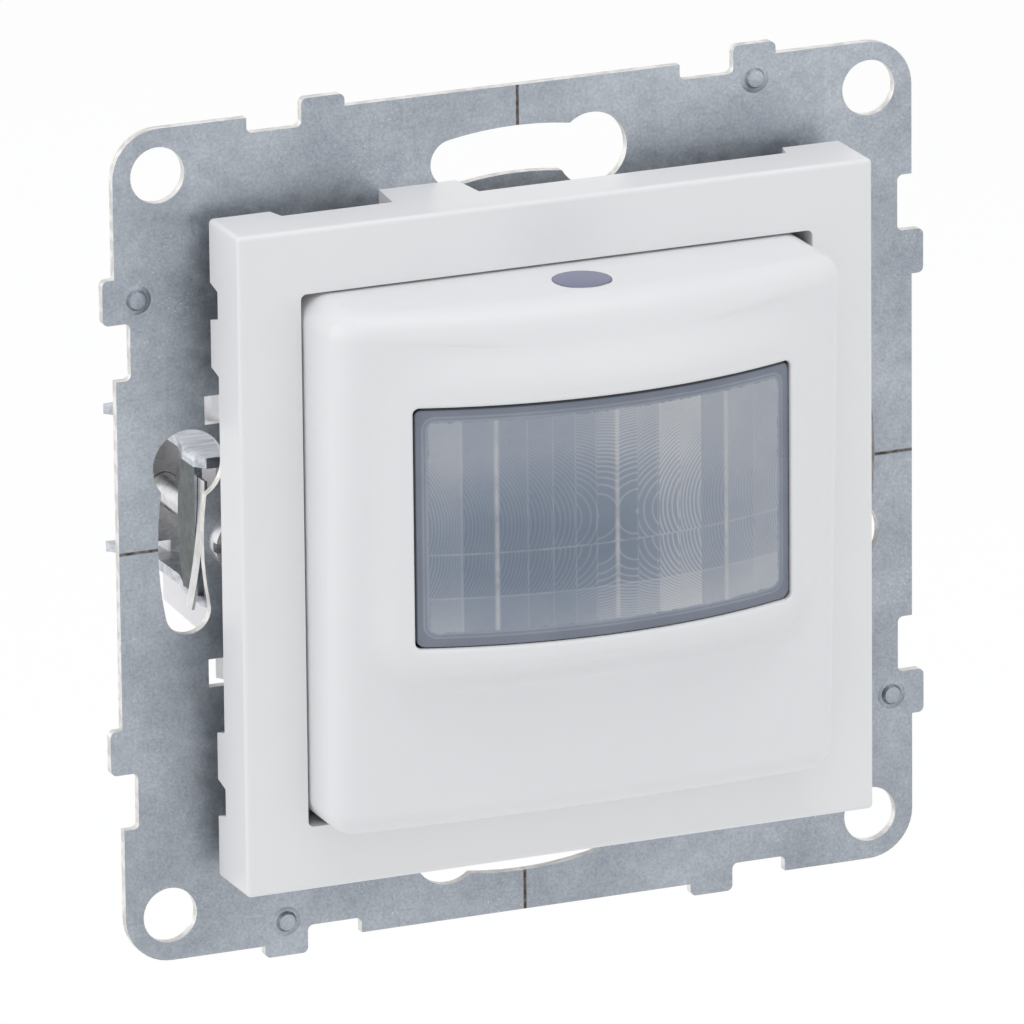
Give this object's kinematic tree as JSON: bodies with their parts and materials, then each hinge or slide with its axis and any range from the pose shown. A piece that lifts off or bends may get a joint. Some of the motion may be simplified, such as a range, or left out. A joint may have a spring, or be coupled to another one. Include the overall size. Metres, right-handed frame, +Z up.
{
  "type": "motion sensor light switch",
  "caption": "Flush-mounted motion sensor wall switch: square white bezel and lift-off sensor head with a bowed lens on a stamped steel plate with curved slots, spreading claws and a rear box",
  "frame": {"origin": "Middle of the four corner holes, in the plane of the plate's wall face.", "axes": "+Z up, -Y towards the room, +Y into the wall, +X to the right as seen from the room."},
  "size_m": [0.0728, 0.0458, 0.0728],
  "materials": {
    "plate_steel": "zinc coated sheet",
    "bezel_plastic": "glossy moulded",
    "head_plastic": "glossy moulded",
    "lens_plastic": "milky grey moulded",
    "guide_plastic": "clear tinted moulded",
    "dark_plastic": "moulded",
    "carrier_plastic": "moulded",
    "housing_plastic": "moulded",
    "board_resin": "lacquered board",
    "can_metal": "drawn can",
    "filter_glass": "dark filter",
    "chip_plastic": "moulded",
    "led_plastic": "clear cast",
    "trimmer_plastic": "moulded",
    "rotor_plastic": "moulded",
    "relay_plastic": "moulded",
    "film_plastic": "cast case",
    "sleeve_plastic": "shrunk sleeve",
    "varistor_resin": "dipped",
    "fuse_plastic": "moulded",
    "terminal_plastic": "moulded",
    "clamp_brass": "plain",
    "screw_steel": "zinc coated",
    "claw_steel": "zinc coated",
    "spring_steel": "bright",
    "pin_metal": "tinned"
  },
  "bodies": {
    "insert": {"mounting_plate": "plate_steel", "carrier": "carrier_plastic", "housing": "housing_plastic", "assembly_screws": "screw_steel", "sensor_board": "board_resin", "pir_detector": "can_metal", "pir_window": "filter_glass", "indicator_led": "led_plastic", "twilight_sensor": "chip_plastic", "control_chip": "chip_plastic", "trimmer_bodies": "trimmer_plastic", "board_header": "dark_plastic", "header_pins": "pin_metal", "power_board": "board_resin", "relay": "relay_plastic", "film_capacitor": "film_plastic", "electrolytic_capacitor": "sleeve_plastic", "varistor": "varistor_resin", "fuse": "fuse_plastic", "terminal_block": "terminal_plastic", "terminal_clamps": "clamp_brass", "claw_pins": "pin_metal"},
    "bezel_body": {"bezel": "bezel_plastic"},
    "head_body": {"sensor_head": "head_plastic", "fresnel_lens": "lens_plastic", "lens_clamp": "dark_plastic", "light_guide": "guide_plastic"},
    "time_rotor": {"time_trimmer": "rotor_plastic"},
    "light_rotor": {"light_trimmer": "rotor_plastic"},
    "range_rotor": {"range_trimmer": "rotor_plastic"},
    "screw_left": {"claw_screw_left": "screw_steel"},
    "screw_right": {"claw_screw_right": "screw_steel"},
    "nut_left": {"claw_nut_left": "claw_steel"},
    "nut_right": {"claw_nut_right": "claw_steel"},
    "spreader_left": {"claw_left": "claw_steel", "claw_spring_left": "spring_steel"},
    "spreader_right": {"claw_right": "claw_steel", "claw_spring_right": "spring_steel"},
    "terminal_live": {"terminal_screw_live": "screw_steel"},
    "terminal_switched": {"terminal_screw_switched": "screw_steel"},
    "terminal_neutral": {"terminal_screw_neutral": "screw_steel"}
  },
  "joints": [
    {"name": "bezel_pull", "type": "slide", "parent": "insert", "child": "bezel_body", "axis": [0, -1, 0], "range_m": [0, 0.02]},
    {"name": "head_pull", "type": "slide", "parent": "insert", "child": "head_body", "axis": [0, -1, 0], "range_m": [0, 0.02]},
    {"name": "time_turn", "type": "hinge", "parent": "insert", "child": "time_rotor", "pos_m": [-0.011, -0.008, -0.0126], "axis": [0, 1, 0], "range_deg": [0, 270]},
    {"name": "light_turn", "type": "hinge", "parent": "insert", "child": "light_rotor", "pos_m": [0, -0.008, -0.0126], "axis": [0, 1, 0], "range_deg": [0, 270]},
    {"name": "range_turn", "type": "hinge", "parent": "insert", "child": "range_rotor", "pos_m": [0.011, -0.008, -0.0126], "axis": [0, 1, 0], "range_deg": [0, 270]},
    {"name": "claw_left_spread", "type": "hinge", "parent": "insert", "child": "spreader_left", "pos_m": [-0.0236, 0.0026, 0], "axis": [0, 0, 1], "range_deg": [0, 12]},
    {"name": "claw_screw_left_turn", "type": "hinge", "parent": "insert", "child": "screw_left", "pos_m": [-0.0252, 0, 0], "axis": [0, 1, 0], "range_deg": [0, 1081]},
    {"name": "claw_nut_left_travel", "type": "slide", "parent": "insert", "child": "nut_left", "axis": [0, -1, 0], "range_m": [0, 0.00181]},
    {"name": "claw_right_spread", "type": "hinge", "parent": "insert", "child": "spreader_right", "pos_m": [0.0236, 0.0026, 0], "axis": [0, 0, -1], "range_deg": [0, 12]},
    {"name": "claw_screw_right_turn", "type": "hinge", "parent": "insert", "child": "screw_right", "pos_m": [0.0252, 0, 0], "axis": [0, 1, 0], "range_deg": [0, 1081]},
    {"name": "claw_nut_right_travel", "type": "slide", "parent": "insert", "child": "nut_right", "axis": [0, -1, 0], "range_m": [0, 0.00181]},
    {"name": "terminal_live_turn", "type": "hinge", "parent": "insert", "child": "terminal_live", "pos_m": [-0.01, 0.0168, -0.0171], "axis": [0, 0, 1], "range_deg": [0, 720]},
    {"name": "terminal_switched_turn", "type": "hinge", "parent": "insert", "child": "terminal_switched", "pos_m": [0, 0.0168, -0.0171], "axis": [0, 0, 1], "range_deg": [0, 720]},
    {"name": "terminal_neutral_turn", "type": "hinge", "parent": "insert", "child": "terminal_neutral", "pos_m": [0.01, 0.0168, -0.0171], "axis": [0, 0, 1], "range_deg": [0, 720]}
  ],
  "couplings": [
    {"joint": "claw_screw_left_turn", "follows": "claw_left_spread", "ratio": 90},
    {"joint": "claw_nut_left_travel", "follows": "claw_left_spread", "m_per_rad": 0.0085944},
    {"joint": "claw_screw_right_turn", "follows": "claw_right_spread", "ratio": 90},
    {"joint": "claw_nut_right_travel", "follows": "claw_right_spread", "m_per_rad": 0.0085944}
  ]
}
